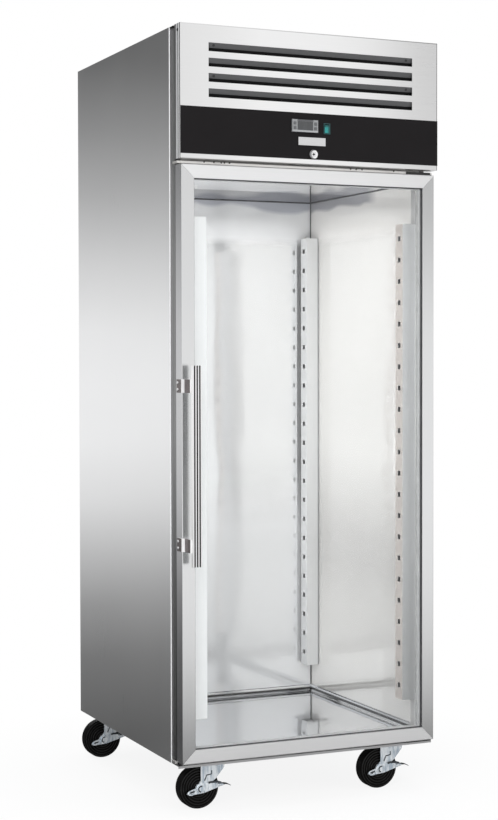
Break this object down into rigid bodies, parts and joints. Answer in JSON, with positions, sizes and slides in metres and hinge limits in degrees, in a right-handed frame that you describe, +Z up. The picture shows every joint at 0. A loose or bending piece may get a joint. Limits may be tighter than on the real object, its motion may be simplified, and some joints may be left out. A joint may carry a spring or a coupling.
{
  "type": "proofing cabinet",
  "caption": "Upright stainless proofing cabinet with a glazed hinged door, lift-up control fascia with louvres, slotted shelf uprights, fan and heater, on swivel casters with brakes.",
  "frame": {"origin": "on the floor, under the middle of the whole cabinet's outline, handle included", "axes": "+X to the right seen from the front, -Y the front with the door, +Z up"},
  "size_m": [0.749, 0.85, 2.01],
  "materials": {
    "side_steel": "satin",
    "foam": "matte",
    "liner_steel": "polished",
    "frame_dark": "satin",
    "frame_light": "satin",
    "upright_steel": "satin",
    "inner_steel": "satin",
    "motor_black": "satin",
    "heater_metal": "matte",
    "tank_plastic": "satin",
    "box_plastic": "matte",
    "black_plastic": "matte",
    "hinge_metal": "satin",
    "pivot_steel": "satin",
    "zinc": "satin",
    "wheel_rubber": "matte",
    "fascia_steel": "satin",
    "louvre_grey": "matte",
    "band_black": "satin",
    "controller_silver": "satin",
    "window_dark": "gloss",
    "button_grey": "satin",
    "rocker_frame": "satin",
    "rocker_teal": "gloss",
    "plate_silver": "satin",
    "lock_chrome": "polished",
    "door_metal": "satin",
    "glass": "polished",
    "seal_rubber": "matte",
    "handle_metal": "satin",
    "bracket_dark": "satin",
    "screw_steel": "polished"
  },
  "bodies": {
    "cabinet": {"left_side_panel": "side_steel", "right_side_panel": "side_steel", "back_panel": "side_steel", "top_cover": "side_steel", "base_pan": "side_steel", "foam_insulation": "foam", "left_liner": "liner_steel", "right_liner": "liner_steel", "back_liner": "liner_steel", "ceiling_liner": "liner_steel", "floor_liner": "liner_steel", "frame_posts": "frame_dark", "frame_rails": "frame_light", "slotted_uprights": "upright_steel", "air_plenum": "inner_steel", "fan_motor": "motor_black", "fan_guard": "inner_steel", "heater_element": "heater_metal", "humidifier_tank": "tank_plastic", "electrical_box": "box_plastic", "cable_gland": "black_plastic", "hinge_plates": "hinge_metal", "fascia_pivots": "pivot_steel", "caster_plates": "zinc"},
    "fan": {"fan_impeller": "inner_steel"},
    "fascia": {"fascia_panel": "fascia_steel", "louvre_blades": "louvre_grey", "control_band": "band_black", "controller_housing": "controller_silver", "controller_window": "window_dark", "rocker_housing": "rocker_frame", "bare_plate": "plate_silver", "lock_barrel": "lock_chrome"},
    "rocker": {"rocker_switch": "rocker_teal"},
    "lock": {"lock_plug": "lock_chrome"},
    "door": {"door_stiles": "door_metal", "door_rails": "door_metal", "glass_panes": "glass", "glazing_seal": "seal_rubber", "door_seal": "seal_rubber", "handle_bar": "handle_metal", "handle_brackets": "bracket_dark", "handle_screws": "screw_steel", "hinge_bushes": "black_plastic"},
    "button_upper_left": {"button_upper_left": "button_grey"},
    "button_lower_left": {"button_lower_left": "button_grey"},
    "button_upper_right": {"button_upper_right": "button_grey"},
    "button_lower_right": {"button_lower_right": "button_grey"},
    "front_left_swivel": {"front_left_fork": "zinc"},
    "front_left_roller": {"front_left_wheel": "wheel_rubber"},
    "front_left_lever": {"front_left_brake": "zinc"},
    "front_right_swivel": {"front_right_fork": "zinc"},
    "front_right_roller": {"front_right_wheel": "wheel_rubber"},
    "front_right_lever": {"front_right_brake": "zinc"},
    "rear_left_swivel": {"rear_left_fork": "zinc"},
    "rear_left_roller": {"rear_left_wheel": "wheel_rubber"},
    "rear_left_lever": {"rear_left_brake": "zinc"},
    "rear_right_swivel": {"rear_right_fork": "zinc"},
    "rear_right_roller": {"rear_right_wheel": "wheel_rubber"},
    "rear_right_lever": {"rear_right_brake": "zinc"}
  },
  "joints": [
    {"name": "door_hinge", "type": "hinge", "parent": "cabinet", "child": "door", "pos_m": [0.353, -0.355, 0.138], "axis": [0, 0, 1], "range_deg": [0, 110]},
    {"name": "fascia_lift", "type": "hinge", "parent": "cabinet", "child": "fascia", "pos_m": [0, -0.363, 1.994], "axis": [-1, 0, 0], "range_deg": [0, 80]},
    {"name": "fan_spin", "type": "hinge", "parent": "cabinet", "child": "fan", "pos_m": [-0.25, 0.015, 1.687], "axis": [0, 0, 1], "continuous": true},
    {"name": "lock_turn", "type": "hinge", "parent": "fascia", "child": "lock", "pos_m": [0, -0.383, 1.697], "axis": [0, 1, 0], "range_deg": [0, 90]},
    {"name": "rocker_tip", "type": "hinge", "parent": "fascia", "child": "rocker", "pos_m": [0.039, -0.381, 1.765], "axis": [-1, 0, 0], "range_deg": [0, 16]},
    {"name": "button_upper_left_press", "type": "slide", "parent": "fascia", "child": "button_upper_left", "axis": [0, 1, 0], "range_m": [0, 0.0008], "stiffness_N_per_m": 400},
    {"name": "button_lower_left_press", "type": "slide", "parent": "fascia", "child": "button_lower_left", "axis": [0, 1, 0], "range_m": [0, 0.0008], "stiffness_N_per_m": 400},
    {"name": "button_upper_right_press", "type": "slide", "parent": "fascia", "child": "button_upper_right", "axis": [0, 1, 0], "range_m": [0, 0.0008], "stiffness_N_per_m": 400},
    {"name": "button_lower_right_press", "type": "slide", "parent": "fascia", "child": "button_lower_right", "axis": [0, 1, 0], "range_m": [0, 0.0008], "stiffness_N_per_m": 400},
    {"name": "front_left_turn", "type": "hinge", "parent": "cabinet", "child": "front_left_swivel", "pos_m": [-0.264, -0.28, 0.13], "axis": [0, 0, 1], "continuous": true},
    {"name": "front_left_roll", "type": "hinge", "parent": "front_left_swivel", "child": "front_left_roller", "pos_m": [-0.288, -0.28, 0.055], "axis": [0, 1, 0], "continuous": true},
    {"name": "front_left_lock", "type": "hinge", "parent": "front_left_swivel", "child": "front_left_lever", "pos_m": [-0.288, -0.28, 0.055], "axis": [0, -1, 0], "range_deg": [0, 25]},
    {"name": "front_right_turn", "type": "hinge", "parent": "cabinet", "child": "front_right_swivel", "pos_m": [0.264, -0.28, 0.13], "axis": [0, 0, 1], "continuous": true},
    {"name": "front_right_roll", "type": "hinge", "parent": "front_right_swivel", "child": "front_right_roller", "pos_m": [0.24, -0.28, 0.055], "axis": [0, 1, 0], "continuous": true},
    {"name": "front_right_lock", "type": "hinge", "parent": "front_right_swivel", "child": "front_right_lever", "pos_m": [0.24, -0.28, 0.055], "axis": [0, -1, 0], "range_deg": [0, 25]},
    {"name": "rear_left_turn", "type": "hinge", "parent": "cabinet", "child": "rear_left_swivel", "pos_m": [-0.3, 0.375, 0.13], "axis": [0, 0, 1], "continuous": true},
    {"name": "rear_left_roll", "type": "hinge", "parent": "rear_left_swivel", "child": "rear_left_roller", "pos_m": [-0.324, 0.375, 0.055], "axis": [0, 1, 0], "continuous": true},
    {"name": "rear_left_lock", "type": "hinge", "parent": "rear_left_swivel", "child": "rear_left_lever", "pos_m": [-0.324, 0.375, 0.055], "axis": [0, -1, 0], "range_deg": [0, 25]},
    {"name": "rear_right_turn", "type": "hinge", "parent": "cabinet", "child": "rear_right_swivel", "pos_m": [0.3, 0.375, 0.13], "axis": [0, 0, 1], "continuous": true},
    {"name": "rear_right_roll", "type": "hinge", "parent": "rear_right_swivel", "child": "rear_right_roller", "pos_m": [0.276, 0.375, 0.055], "axis": [0, 1, 0], "continuous": true},
    {"name": "rear_right_lock", "type": "hinge", "parent": "rear_right_swivel", "child": "rear_right_lever", "pos_m": [0.276, 0.375, 0.055], "axis": [0, -1, 0], "range_deg": [0, 25]}
  ]
}
